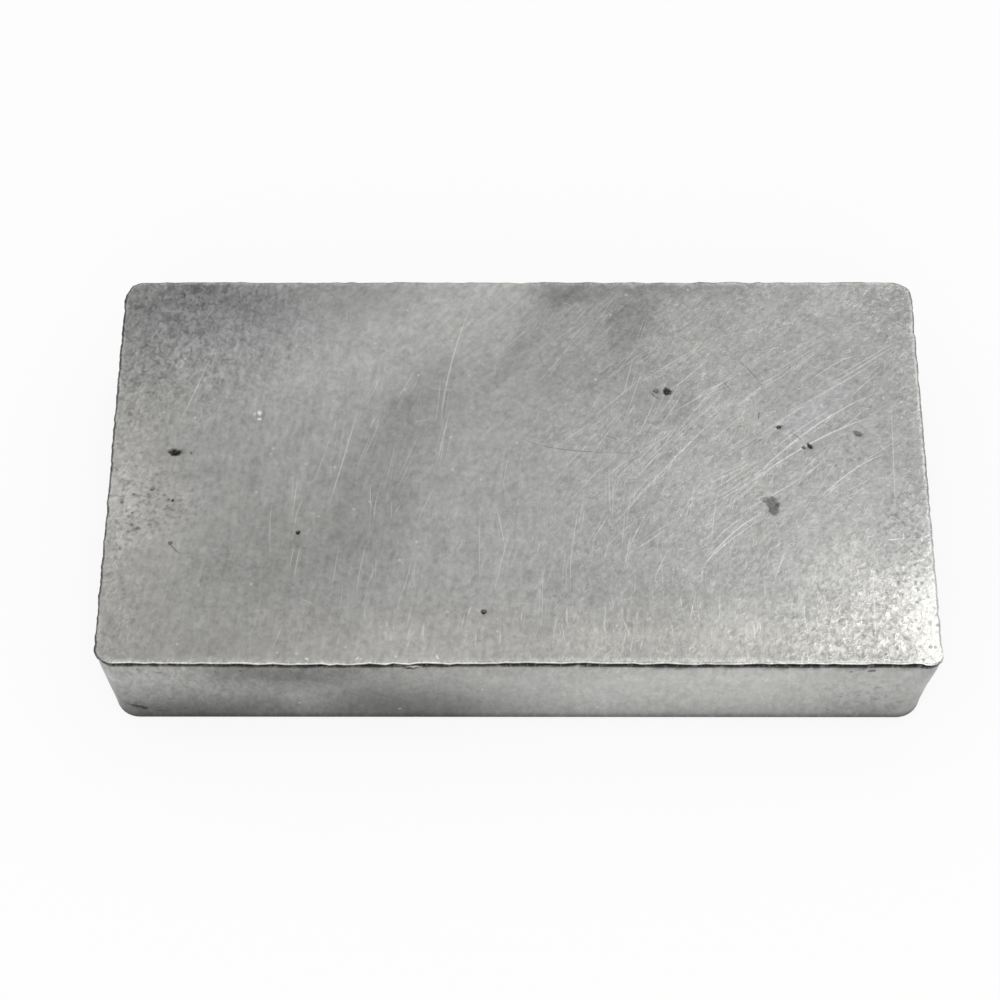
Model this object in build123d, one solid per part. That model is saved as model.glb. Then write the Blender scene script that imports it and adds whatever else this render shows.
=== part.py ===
"""Cast metal ingot: a low drafted bar with rounded corners and a thin struck lip, lying with its wide face up."""

import math
import os

from build123d import *

# Driving dimensions of the whole bar, in millimetres and degrees
LENGTH = 120.0  # along X, over the lip
WIDTH = 68.4  # along Y, over the lip
HEIGHT = 17.0  # from the base to the struck face
DRAFT_ANGLE = 3.0  # lean of the walls, so that the bar leaves its mould

# Corners and edges of the mould's cavity
WALL_CORNER_RADIUS = 2.8  # plan radius of a wall corner just under the lip
BASE_CORNER_RADIUS = 4.8  # plan radius of the same corner at the base
BASE_EDGE_RADIUS = 0.8  # round between the walls and the base

# Lip where the metal was struck off level with the mould's brim
LIP_HEIGHT = 0.9
LIP_OVERHANG = 0.25  # how far the lip stands out past the wall under it
LIP_TOP_RADIUS = 0.45  # round between the struck face and the lip's rim
LIP_UNDER_RADIUS = 0.15  # round along the lip's lower edge


def wall_section(inset, corner_radius):
    """Plan section of the bar, set in from the lip's outline on all four sides."""
    return RectangleRounded(LENGTH - 2 * inset, WIDTH - 2 * inset, corner_radius)


def cast_body():
    """The drafted walls, lofted from the base up to the underside of the lip, with the base edge rounded."""
    wall_height = HEIGHT - LIP_HEIGHT
    base_inset = LIP_OVERHANG + wall_height * math.tan(math.radians(DRAFT_ANGLE))
    base = wall_section(base_inset, BASE_CORNER_RADIUS)
    brim = Pos(0, 0, wall_height) * wall_section(LIP_OVERHANG, WALL_CORNER_RADIUS)
    body = loft([base, brim], ruled=True)
    base_edges = body.faces().sort_by(Axis.Z)[0].edges()
    return fillet(base_edges, BASE_EDGE_RADIUS)


def struck_lip():
    """The thin plate on top of the walls, which overhangs them and is rounded along both of its edges."""
    outline = wall_section(0, WALL_CORNER_RADIUS + LIP_OVERHANG)
    lip = Pos(0, 0, HEIGHT - LIP_HEIGHT) * extrude(outline, LIP_HEIGHT)
    lip = fillet(lip.faces().sort_by(Axis.Z)[-1].edges(), LIP_TOP_RADIUS)
    return fillet(lip.faces().sort_by(Axis.Z)[0].edges(), LIP_UNDER_RADIUS)


ingot = cast_body() + struck_lip()

os.makedirs("parts", exist_ok=True)
export_step(ingot, "parts/ingot.step")
print(f"ingot volume {ingot.volume / 1000:.1f} cm3, solids {len(ingot.solids())}")
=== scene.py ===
"""Looks of a cast metal ingot: a drafted bar with a struck lip and a scratched, pitted and stained face."""

import math
import random

import bmesh
import bpy
import numpy as np
from mathutils import Matrix, Vector, noise
from mathutils.geometry import delaunay_2d_cdt


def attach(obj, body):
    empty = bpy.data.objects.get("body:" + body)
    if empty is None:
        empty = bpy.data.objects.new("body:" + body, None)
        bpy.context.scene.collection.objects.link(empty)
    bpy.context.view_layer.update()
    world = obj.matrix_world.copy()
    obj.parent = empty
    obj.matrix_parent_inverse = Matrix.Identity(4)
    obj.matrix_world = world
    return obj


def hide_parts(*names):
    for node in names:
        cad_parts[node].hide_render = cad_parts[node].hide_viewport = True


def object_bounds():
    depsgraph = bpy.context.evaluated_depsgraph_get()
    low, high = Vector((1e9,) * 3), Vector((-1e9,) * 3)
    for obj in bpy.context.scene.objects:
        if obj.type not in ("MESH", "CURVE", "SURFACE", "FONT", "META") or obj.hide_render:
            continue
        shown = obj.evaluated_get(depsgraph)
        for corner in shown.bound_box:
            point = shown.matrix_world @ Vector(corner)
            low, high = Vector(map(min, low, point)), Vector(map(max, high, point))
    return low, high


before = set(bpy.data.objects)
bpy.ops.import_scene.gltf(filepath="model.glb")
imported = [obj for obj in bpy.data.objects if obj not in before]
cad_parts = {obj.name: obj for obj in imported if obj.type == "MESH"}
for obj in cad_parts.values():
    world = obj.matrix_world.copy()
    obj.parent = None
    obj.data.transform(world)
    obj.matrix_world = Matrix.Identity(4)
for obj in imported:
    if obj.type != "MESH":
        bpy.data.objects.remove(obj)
cad_low, cad_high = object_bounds()

# Sizes of the bar in millimetres, taken from the frame
MM = 0.001
LENGTH = (cad_high.x - cad_low.x) / MM
WIDTH = (cad_high.y - cad_low.y) / MM
HEIGHT = (cad_high.z - cad_low.z) / MM

# Section of the bar's edge, in millimetres. Insets are measured from the lip's rim.
LIP_CORNER = 3.05  # plan radius of the lip's corners
LIP_ROLL = 0.42  # inset where the lip starts to roll over
LIP_DROP = 0.26  # how far the roll drops
LIP_FOOT = 0.4  # depth of the lip's lower edge under the struck face
LIP_FOOT_INSET = 0.1  # inset of that edge
LIP_UNDERSIDE = 0.06  # how much lower the lip's underside lies at the crease than at its edge
CREASE_INSET = 0.5  # inset of the crease under the lip
WALL_TOP = 0.84  # depth of the wall's upper edge under the struck face
WALL_INSET = 0.2  # inset of that edge
WALL_BRIM = 0.12  # height of the upright band under the wall's upper edge, and of the slope above it
GRIME_SHADE_REACH = 0.8  # how far the crease's grime and painted shade reach down the wall
GRIME_SHADE_INSET = 0.04  # how much further in the wall lies there
GRIME_SHADE_CORNER = 0.08  # how much larger its corner radius is there
BASE_INSET = 1.1  # inset of the wall's lower edge
BASE_ROUND = 0.8  # radius of the edge round the base
BASE_CORNER = 3.6  # plan radius of the base's corners
END_LEAN = 0.5  # how much further in the base's ends lie than its sides

# How finely the bar is divided, with spacings and margins in millimetres
CORNER_STEPS = 9
LONG_SIDE_CUTS = 280
SHORT_SIDE_CUTS = 104
WALL_ROWS = 24
ROLL_STEPS = 6
BASE_ROUND_STEPS = 4
FACE_SPACING = 0.8
FACE_MARGIN = 0.15  # how far the face's points stay clear of its marks
ROUGH_SPACING = 0.36
ROUGH_MARGIN = 0.1
ROUGH_ENOUGH = 0.25  # roughness from which the closer points are used
BASE_SPACING = 1.6
ROW_SPACING = 0.87  # distance of rows of points, as a share of their spacing
JITTER = 0.22  # how far points are shifted, as a share of their spacing
SAME_POINT = 1e-3  # distance below which points of a sheet count as one
SEAM_GAP = 0.002  # distance below which corners are joined at a seam
FLAT = 1e-3  # how far the corners of a flat face may lie from its plane
TINY = 1e-9  # keeps a direction from being divided by 0
SHARP_ANGLE = math.radians(30)

# Seeds of the random draws
SCRATCH_SEED = 27
FACE_SEED = 3
ROUGH_SEED = 4
BASE_SEED = 5


def smooth(low, high, value):
    """0 below low, 1 above high, and an even S between them."""
    share = np.clip((value - low) / (high - low), 0, 1)
    return share * share * (3 - 2 * share)


def rim_distance(x, y):
    """How far points lie inside the lip's outline, and the direction that points straight out of it."""
    over_x = np.abs(x) - (LENGTH / 2 - LIP_CORNER)
    over_y = np.abs(y) - (WIDTH / 2 - LIP_CORNER)
    corner = np.hypot(np.maximum(over_x, 0), np.maximum(over_y, 0))
    inside = LIP_CORNER - corner - np.minimum(np.maximum(over_x, over_y), 0)
    in_corner = corner > 0
    out_x = np.where(in_corner, np.maximum(over_x, 0), over_x > over_y)
    out_y = np.where(in_corner, np.maximum(over_y, 0), over_x <= over_y)
    size = np.maximum(np.hypot(out_x, out_y), TINY)
    return inside, out_x / size * np.sign(x), out_y / size * np.sign(y)


def ripple(x, y, z, height, size, seed):
    """Soft noise between -height and height whose bumps are about that size."""
    points = zip(x / size + seed, y / size - seed, z / size + 2 * seed)
    return height * np.array([noise.noise(Vector(p)) for p in points])


# Marks on the struck face

class Scratch:
    """A thin line along a bent path, as wide as said where it has half its strength.

    Shine above 0 is bright metal, below 0 dirt.
    """

    CORE = 0.3  # share of the line that has its full strength
    STEP = 2.2  # about the greatest length of the straight steps that it is made of
    FEWEST_STEPS = 3
    MARGIN = 0.02  # how far past its edges points are still looked at
    LEAST_WIDTH = 1e-6  # keeps its tips from being 0 wide

    def __init__(self, start, middle, end, width, shine):
        self.half_width = width / (1 + self.CORE)
        self.shine = shine
        start, middle, end = np.array(start), np.array(middle), np.array(end)
        length = np.hypot(*(middle - start)) + np.hypot(*(end - middle))
        steps = max(self.FEWEST_STEPS, int(length / self.STEP) + 1)
        share = np.linspace(0, 1, steps + 1)[:, None]
        bend = 2 * middle - (start + end) / 2
        self.line = (1 - share) ** 2 * start + 2 * share * (1 - share) * bend + share * share * end

    def taper(self, share):
        """How much of its width the scratch has at a share of its length."""
        return np.sqrt(np.clip(np.sin(np.pi * share), 0, 1))

    def edges(self):
        """The scratch's two edges and the two sides of its core, as lines of points from tip to tip."""
        along = np.gradient(self.line, axis=0)
        across = np.stack([-along[:, 1], along[:, 0]], 1) / np.hypot(*along.T)[:, None]
        share = np.linspace(0, 1, len(self.line))
        offset = across * (self.half_width * self.taper(share))[:, None]
        return [self.line + offset * side for side in (1, self.CORE, -self.CORE, -1)]

    def measure(self, x, y):
        """Distance of points from the scratch's middle line, and how far along it they lie, from 0 to 1."""
        nearest = np.full(len(x), np.inf)
        place = np.zeros(len(x))
        steps = len(self.line) - 1
        for index in range(steps):
            start = self.line[index]
            step = self.line[index + 1] - start
            share = np.clip(((x - start[0]) * step[0] + (y - start[1]) * step[1]) / (step @ step), 0, 1)
            gap = np.hypot(x - start[0] - share * step[0], y - start[1] - share * step[1])
            nearer = gap < nearest
            nearest = np.where(nearer, gap, nearest)
            place = np.where(nearer, (index + share) / steps, place)
        return nearest, place

    def near(self, x, y, margin):
        """The points inside the scratch's box and a margin round it."""
        low = self.line.min(0) - self.half_width - margin
        high = self.line.max(0) + self.half_width + margin
        return np.nonzero((x > low[0]) & (x < high[0]) & (y > low[1]) & (y < high[1]))[0]


class Pit:
    """A gas pit with a ragged outline. Dirt below 0 is bright metal."""

    RINGS = (1.08, 0.86, 0.6, 0.3)  # lines round the pit, as shares of its size
    SIDES = 16
    BRIM = 1.02  # share of its size where the pit's wall starts
    WALL = 0.75  # how wide the wall is
    DIRT_BRIM = 1.08  # the same for its dirt
    DIRT_FADE = 0.45

    def __init__(self, x, y, size_x, size_y, turn, depth, dirt):
        self.x = x
        self.y = y
        self.half = np.array([size_x, size_y]) / 2
        self.cosine = math.cos(math.radians(turn))
        self.sine = math.sin(math.radians(turn))
        self.depth = depth
        self.dirt = dirt

    def ragged(self, angle):
        """The outline's size at an angle, near 1, with bumps that differ from pit to pit."""
        bumps = 0.08 * np.sin(3 * angle + self.x) + 0.07 * np.sin(5 * angle + 2 * self.y)
        return 1 + bumps + 0.05 * np.sin(7 * angle + self.x + self.y)

    def share(self, x, y):
        """0 at the pit's middle, 1 at its edge."""
        along = (self.cosine * (x - self.x) + self.sine * (y - self.y)) / self.half[0]
        across = (self.cosine * (y - self.y) - self.sine * (x - self.x)) / self.half[1]
        return np.hypot(along, across) / self.ragged(np.arctan2(across, along))

    def edges(self):
        """Closed lines of points round the pit, one inside the other."""
        angle = np.linspace(0, 2 * math.pi, self.SIDES + 1)
        lines = []
        for ring in self.RINGS:
            along = np.cos(angle) * self.half[0] * ring * self.ragged(angle)
            across = np.sin(angle) * self.half[1] * ring * self.ragged(angle)
            x = self.x + self.cosine * along - self.sine * across
            y = self.y + self.sine * along + self.cosine * across
            lines.append(np.stack([x, y], 1))
        return lines


# Long scratches: start, a point on the way, end, width and shine
LONG_SCRATCHES = [
    # Bright lines
    ((-6.7, 31.0), (-10.0, 18.4), (-11.4, 6.7), 0.22, 0.38),
    ((-13.8, 14.3), (-11.0, 13.7), (-8.2, 14.0), 0.17, 0.2),
    ((-46.2, 19.8), (-48.0, 13.9), (-50.3, 7.4), 0.18, 0.4),
    ((-23.4, 11.7), (-25.6, 1.2), (-27.7, -8.0), 0.2, 0.36),
    ((-17.8, 5.2), (-18.6, 0.6), (-19.3, -3.4), 0.15, 0.2),
    ((53.8, 19.2), (47.5, 14.4), (38.7, 8.9), 0.20, 0.32),
    ((52.6, 19.8), (48.2, 18.9), (40.0, 12.1), 0.16, 0.28),
    ((54.2, 13.4), (43.3, 6.5), (31.7, -5.4), 0.22, 0.45),
    ((53.0, 8.9), (42.5, 3.5), (30.8, -5.8), 0.22, 0.5),
    ((47.0, 10.4), (41.0, 6.0), (35.6, 0.6), 0.17, 0.36),
    ((54.6, 2.2), (49.3, -0.7), (42.8, -7.1), 0.20, 0.42),
    ((45.0, 1.2), (39.0, -4.0), (27.0, -11.4), 0.17, 0.3),
    ((36.4, -8.2), (31.0, -12.0), (25.3, -19.7), 0.21, 0.45),
    ((35.8, -9.2), (30.2, -13.6), (26.2, -18.2), 0.17, 0.42),
    ((34.6, -8.4), (30.4, -11.0), (27.0, -15.6), 0.16, 0.38),
    ((32.2, 11.8), (22.2, 0.2), (12.4, -12.6), 0.20, 0.36),
    ((30.2, 12.0), (21.4, 3.4), (16.2, -2.6), 0.16, 0.3),
    ((33.4, 17.6), (28.0, 12.2), (21.6, 2.8), 0.17, 0.28),
    ((19.3, 16.8), (15.4, 12.8), (10.7, 8.3), 0.17, 0.32),
    ((28.4, 23.9), (26.6, 21.0), (24.1, 18.3), 0.16, 0.26),
    ((55.5, 13.0), (55.2, 2.0), (54.8, -9.2), 0.15, 0.26),
    ((38.9, -14.0), (37.7, -17.4), (36.2, -21.3), 0.17, 0.34),
    ((-5.4, -6.4), (-5.5, -14.0), (-5.3, -22.2), 0.15, 0.24),
    ((-0.9, -11.2), (-2.2, -16.2), (-3.4, -22.6), 0.16, 0.3),
    ((-21.6, -12.8), (-22.6, -18.0), (-23.1, -23.4), 0.16, 0.3),
    ((-25.6, -12.4), (-26.2, -18.0), (-26.7, -23.2), 0.15, 0.24),
    ((-35.8, -6.4), (-35.9, -11.0), (-35.6, -16.0), 0.15, 0.24),
    ((-33.2, -27.0), (-34.0, -29.6), (-35.0, -32.4), 0.15, 0.28),
    ((13.4, -12.4), (12.8, -15.0), (12.2, -17.6), 0.15, 0.3),
    ((33.4, -26.6), (33.6, -28.4), (33.4, -30.0), 0.21, 0.55),
    ((18.0, -28.4), (17.6, -30.4), (17.0, -32.6), 0.16, 0.34),
    ((16.4, -29.0), (16.1, -30.8), (15.8, -32.6), 0.15, 0.3),
    ((52.9, -13.1), (54.2, -13.0), (55.7, -12.8), 0.21, 0.6),
    ((55.7, -11.8), (55.75, -12.3), (55.7, -12.9), 0.18, 0.55),
    ((50.9, -19.0), (50.8, -24.0), (50.6, -31.0), 0.18, 0.36),
    # Dark lines
    ((-0.2, 5.6), (5.8, 3.0), (18.4, 2.2), 0.13, -0.45),
    ((10.4, 6.6), (14.2, 4.8), (17.2, 3.0), 0.10, -0.35),
    ((32.6, 19.3), (34.6, 17.4), (37.0, 13.3), 0.13, -0.5),
    ((30.4, 15.6), (31.2, 14.5), (31.9, 12.9), 0.13, -0.5),
    ((19.75, 13.5), (20.3, 12.5), (21.4, 11.95), 0.26, -0.5),
    ((39.9, 6.3), (41.2, 5.2), (42.2, 4.0), 0.13, -0.55),
    ((36.0, 9.9), (35.7, 9.0), (35.8, 7.9), 0.18, -0.6),
    ((47.2, -5.2), (48.2, -6.0), (49.4, -6.8), 0.10, -0.4),
    ((-50.4, -13.4), (-49.6, -14.6), (-48.2, -15.9), 0.24, -0.5),
    ((-7.4, -30.6), (-5.6, -30.2), (-4.2, -29.6), 0.11, -0.3),
    ((53.5, -30.4), (53.6, -31.2), (53.5, -32.0), 0.36, -0.5),
    # Bright ticks at the front rim
    ((-30.0, -32.9), (-29.7, -33.3), (-29.4, -33.74), 0.42, 0.8),
    ((-22.9, -33.74), (-22.6, -33.2), (-22.2, -32.7), 0.36, 0.7),
    ((-22.3, -33.74), (-22.1, -33.3), (-21.9, -32.9), 0.28, 0.6),
    ((-17.15, -32.4), (-17.2, -32.8), (-17.2, -33.3), 0.42, 0.5),
    ((-11.6, -32.2), (-11.3, -33.0), (-11.0, -33.7), 0.38, 0.7),
]

# Fine scratches: rubs, most lines in a rub, middle, spread, direction, length, width and shine
FINE_SCRATCHES = [
    (26, 3, (9.0, 24.0), (13.0, 7.0), (52, 7), (3.0, 11.0), (0.09, 0.16), (0.08, 0.3)),
    (26, 3, (39.0, 7.0), (14.0, 13.0), (39, 6), (5.0, 18.0), (0.1, 0.2), (0.1, 0.4)),
    (24, 3, (22.0, 0.0), (13.0, 14.0), (54, 9), (4.0, 13.0), (0.1, 0.2), (0.1, 0.38)),
    (50, 2, (-4.0, -14.0), (34.0, 13.0), (83, 6), (3.0, 11.0), (0.1, 0.18), (0.1, 0.36)),
    (80, 1, (12.0, -28.0), (40.0, 5.0), (86, 9), (0.8, 4.5), (0.14, 0.26), (0.1, 0.4)),
    (16, 3, (-19.0, 3.0), (10.0, 12.0), (75, 7), (3.0, 12.0), (0.09, 0.16), (0.1, 0.36)),
    (14, 1, (-48.0, 22.0), (7.0, 9.0), (66, 20), (1.0, 4.0), (0.16, 0.26), (0.06, 0.2)),
    (40, 1, (0.0, 0.0), (56.0, 31.0), (70, 60), (1.0, 4.0), (0.12, 0.22), (0.08, 0.26)),
]
TIDY_EDGE = 1.4  # how far inside the lip's roll the fine scratches stop
BOW = 0.05  # how far a scratch bends, as a share of half its length
ASIDE = (0.35, 0.9)  # distance between the lines of a rub
SLIP = 0.4  # how far a rub's lines are shifted lengthwise, as a share of half their length
FAN = 2  # how far they turn from each to the next, in degrees

# Pits: place, size across, turn, depth and how dirty they are
PITS = [
    Pit(-50.5, 2.35, 2.4, 1.5, -8, 0.30, 1.0),
    Pit(-48.1, 2.2, 0.5, 0.5, 0, 0.1, 0.5),
    Pit(22.25, 13.4, 1.4, 1.6, 30, 0.32, 0.95),
    Pit(20.6, 13.5, 1.0, 1.1, 60, 0.12, 0.5),
    Pit(36.6, -6.1, 2.6, 1.3, 0, 0.16, 0.5),
    Pit(37.0, -6.9, 1.9, 1.7, 0, 0.16, 0.5),
    Pit(37.2, -7.9, 1.7, 1.9, 0, 0.16, 0.5),
    Pit(37.8, -6.9, 0.7, 1.0, 0, 0.16, 0.56),
    Pit(-31.8, -11.8, 0.8, 0.85, 0, 0.2, 0.95),
    Pit(-4.8, -25.3, 1.05, 1.0, 20, 0.2, 0.95),
    Pit(38.6, 6.9, 1.0, 0.75, 30, 0.2, 0.85),
    Pit(43.0, 3.45, 1.4, 0.7, -55, 0.2, 0.9),
    Pit(42.1, 3.2, 0.6, 0.65, 0, 0.15, 0.65),
    Pit(50.2, 5.7, 1.7, 1.0, -30, 0.18, 0.45),
    Pit(-50.2, -13.6, 0.9, 0.8, 0, 0.14, 0.6),
    Pit(-53.4, -4.2, 1.0, 0.7, 20, 0.12, 0.65),
    Pit(-50.3, -6.2, 0.6, 0.6, 0, 0.12, 0.8),
    Pit(-38.3, 9.4, 0.75, 1.0, 0, 0.14, -0.9),
    Pit(-39.0, 9.2, 0.45, 0.75, 0, 0.1, -0.5),
    Pit(-38.25, 8.3, 0.75, 0.6, 0, 0.1, -0.8),
]

# Stains and painted reflections on the struck face, with a painted highlight at its front right corner:
# middle, half sizes, turn, and how much lighter or darker they are
FACE_STAINS_AND_REFLECTIONS = [
    # Darker
    ((-55, 29.5), (16, 8), 0, -0.32),
    ((-38, 32), (18, 4), 0, -0.16),
    ((-57, 16), (5, 9), 0, -0.14),
    ((1, 24), (13, 2.2), 57, -0.15),
    ((7, 32.5), (5, 2.5), 0, -0.2),
    ((17, 27), (6, 4.5), 60, -0.22),
    ((22, 33.5), (16, 2.2), 0, -0.2),
    ((10, 28), (8, 4), 30, -0.1),
    ((58, 28), (4, 5), 0, -0.12),
    ((23, 12), (4, 4), 0, -0.08),
    ((-42, -31), (9, 3), 0, -0.08),
    ((16, 15), (5, 7), 0, -0.12),
    ((6, 16), (7, 4), 40, -0.12),
    ((20, -24), (5, 4), 0, -0.08),
    ((-15, 10), (9, 5), 45, -0.18),
    ((-22, -6), (10, 7), 70, -0.18),
    ((-30, -18), (12, 9), 0, -0.13),
    ((-42, -12), (9, 12), 0, -0.07),
    ((52, 12), (8, 12), 0, -0.08),
    ((57, 1), (4, 6), 0, -0.08),
    ((16, -11), (5, 6), 0, -0.07),
    ((38, 17), (7, 5), 30, -0.06),
    ((40, -25), (6, 4), 0, -0.07),
    ((57, -15), (4, 5), 0, -0.1),
    ((8, -20.5), (6, 4), 0, -0.1),
    ((-49, 17), (8, 5), 0, -0.08),
    ((-39, 25), (9, 5), 0, -0.1),
    ((24, 11), (3, 3), 0, -0.07),
    ((16, 20), (4, 5), 0, -0.07),
    # Lighter
    ((-10, 29), (13, 6), 40, 0.18),
    ((-1, 32.5), (5, 3), 0, 0.12),
    ((0, 27.5), (4, 3.5), 0, 0.1),
    ((-17, 32), (5, 3), 0, 0.08),
    ((32, 10.5), (4, 3), 0, 0.09),
    ((24, -1), (4, 4), 0, 0.09),
    ((-25, -8), (4, 4), 0, 0.06),
    ((-50, -9), (6, 7), 0, 0.17),
    ((48, 31), (5, 3), 0, 0.09),
    ((28, -29.5), (8, 3), 0, 0.1),
    ((47, -30), (6, 4), 0, 0.04),
    ((-57, -5), (2.5, 3), 0, 0.1),
    ((-8, 21), (4, 5), 0, 0.08),
    ((-27, 18), (12, 8), 30, 0.16),
    ((-7, 5), (2.4, 13), 0, 0.06),
    ((45, 11), (7, 2.4), 40, 0.08),
    ((-58, -6), (4, 16), 0, 0.26),
    ((-15, -31), (12, 3), 0, 0.14),
    ((10, -31), (5, 3), 0, 0.12),
    ((35, -28), (9, 5), 0, 0.1),
    # Painted highlight at the front right corner
    ((51, -26), (11, 13), 0, 0.24),
    ((59.5, -27), (4.5, 14), 0, 0.55),
]
PATCH_EDGE = 1.4  # how steep the patches' edges are

# The same on the front wall, along it and up it: stains, and painted light and shade
FRONT_STAINS_AND_SHADING = [
    ((-33, 14.5), (13, 3.5), 0, -0.36),
    ((-30, 8), (14, 6), 0, -0.1),
    ((-14, 5), (12, 7), 0, -0.26),
    ((-30, 7), (4, 5), 0, 0.16),
    ((-46, 2), (16, 4), 0, -0.26),
    ((-54, 13), (8, 4), 0, 0.14),
    # Painted light over the right half of the wall
    ((28, 9), (34, 9), 0, 0.46),
]

# Places on the struck face where dark specks gather
SOOTY_PLACES = [
    ((-52, -7), (6, 6), 30, 0.9),
    ((-58, -8), (3, 18), 0, 0.7),
    ((-40, -20), (14, 9), 0, 0.25),
    ((57.5, -21), (4, 16), 0, 0.8),
    ((48, 2), (6, 4), 0, 0.5),
    ((53.5, -8.5), (2.2, 3), 0, 0.8),
    ((16, 28), (16, 5), 0, 0.3),
]

# The same on the front wall, along it and up it
FRONT_SOOT = [
    ((50, 6), (9, 6), 0, 0.6),
    ((-55, 3.5), (5, 3), 0, 0.9),
    ((-20, 14.5), (36, 1.6), 0, 0.3),
]

# Places on the struck face where the metal is yellower or bluer
WARM_PLACES = [
    ((-57, -8), (8, 26), 0, 0.6),
    ((0, -32), (60, 7), 0, 0.8),
    ((52, -26), (12, 10), 0, 0.4),
    ((-40, -14), (16, 12), 0, 0.25),
    ((-48, 27), (18, 9), 0, -0.4),
    ((45, 11), (7, 2.4), 40, -0.6),
]

# Raw places of the cast skin: middle, how much a distance counts along x and y, the distances where
# fading starts and ends, and strength
ROUGH_PLACES = [
    ((58, -34), (0.9, 1.1), (8, 26), 1.0),
    ((58, 31), (1, 1), (4, 15), 0.6),
    ((-58, 26), (1, 1.2), (10, 30), 0.5),
    ((-60, 0), (1, 0), (3, 11), 0.6),
    ((60, 0), (1, 0), (2, 7), 0.5),
]

# The same for small coils in the skin
COILED_PLACES = [
    ((-60, 30), (1, 1.1), (8, 40), 1.0),
    ((58, -34), (1, 1), (8, 34), 0.8),
]
LEAST_COIL = 0.1

# Flecks on the front wall: along it and up it, half sizes, tilt and how bright or dark they are
FRONT_FLECKS = [
    ((-54.8, 3.9), (1.5, 0.48), 20, -0.95),
    ((-53.9, 3.3), (0.7, 0.55), 0, -0.95),
    ((-56.6, 4.6), (0.6, 0.25), 10, -0.6),
    ((-51.6, 2.4), (1.1, 0.22), 4, -0.6),
    ((-53.8, 14.9), (0.22, 0.22), 0, -0.5),
    ((-50.8, 14.3), (0.9, 0.16), 4, -0.45),
    ((-39.2, 14.6), (0.3, 0.3), 0, -0.5),
    ((50.0, 14.75), (0.7, 0.24), 0, -0.7),
    ((47.2, 14.6), (0.35, 0.2), 0, -0.45),
    ((51.5, 10.0), (0.5, 0.2), -10, -0.45),
    ((-15.2, 15.3), (1.1, 0.2), 5, -0.85),
    ((-14.6, 15.8), (1.2, 0.17), 5, 0.6),
]
FLECK_REACH = 3.0  # how far flecks reach into the wall and out of it
FLECK_RAGGED = 0.5  # how ragged their outlines are


def fine_scratches():
    """The bundles of fine scratches, drawn from a fixed seed."""
    chance = random.Random(SCRATCH_SEED)
    made = []
    far_x = LENGTH / 2 - LIP_ROLL - TIDY_EDGE
    far_y = WIDTH / 2 - LIP_ROLL - TIDY_EDGE
    for rubs, most_lines, middle, spread, (direction, wander), lengths, widths, shines in FINE_SCRATCHES:
        for _ in range(rubs):
            x = middle[0] + chance.uniform(-1, 1) * spread[0]
            y = middle[1] + chance.uniform(-1, 1) * spread[1]
            angle = math.radians(chance.gauss(direction, wander))
            bow = chance.uniform(-BOW, BOW)
            for _ in range(chance.randint(1, most_lines)):
                half = chance.uniform(*lengths) / 2
                width = chance.uniform(*widths)
                shine = chance.uniform(*shines)
                to_x, to_y = math.cos(angle) * half, math.sin(angle) * half
                ends = [(x - to_x, y - to_y), (x - bow * to_y, y + bow * to_x), (x + to_x, y + to_y)]
                if all(abs(end_x) < far_x and abs(end_y) < far_y for end_x, end_y in ends):
                    made.append(Scratch(*ends, width, shine))
                aside = chance.uniform(*ASIDE)
                along = chance.uniform(-SLIP, SLIP) * half
                x += along * math.cos(angle) - aside * math.sin(angle)
                y += along * math.sin(angle) + aside * math.cos(angle)
                angle += math.radians(chance.uniform(-FAN, FAN))
    return made


SCRATCHES = [Scratch(*values) for values in LONG_SCRATCHES] + fine_scratches()


def fading(places, x, y):
    """How strong the strongest of some places is at each point, as they fade outwards."""
    strongest = np.zeros(len(x))
    for middle, weight, (near, far), strength in places:
        gap = np.hypot((x - middle[0]) * weight[0], (y - middle[1]) * weight[1])
        strongest = np.maximum(strongest, strength * (1 - smooth(near, far, gap)))
    return strongest


def rough_skin(x, y):
    """How rough the cast skin is, from 0 in the face's rubbed middle to 1 at its raw corners and ends."""
    return fading(ROUGH_PLACES, x, y)


def coiled_skin(x, y):
    """How strongly small coils show in the cast skin, most of all at the back left and the front right."""
    return np.minimum(LEAST_COIL + fading(COILED_PLACES, x, y), 1)


def soft_patches(places, x, y):
    """How much lighter or darker the soft-edged patches make each point."""
    tone = np.zeros(len(x))
    for middle, half, turn, strength in places:
        cosine, sine = math.cos(math.radians(turn)), math.sin(math.radians(turn))
        along = (cosine * (x - middle[0]) + sine * (y - middle[1])) / half[0]
        across = (cosine * (y - middle[1]) - sine * (x - middle[0])) / half[1]
        tone += strength * np.exp(-(along * along + across * across) ** PATCH_EDGE)
    return tone


# Ripples of the struck face: height, size and seed, in millimetres
FACE_SWELL = (0.025, 17.0, 0.0)
FACE_DENTS = (0.008, 5.0, 3.0)
FACE_HOLLOW = 0.03  # mean depth of its waves
SKIN_LUMPS = (0.01, 1.0, 7.0)
SKIN_DEPTH = 0.01  # mean depth of the rough skin


def broad_waves(x, y):
    """Shallow waves of the struck face, as depth under the highest point."""
    flat = np.zeros(len(x))
    return np.maximum(FACE_HOLLOW + ripple(x, y, flat, *FACE_SWELL) + ripple(x, y, flat, *FACE_DENTS), 0)


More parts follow.
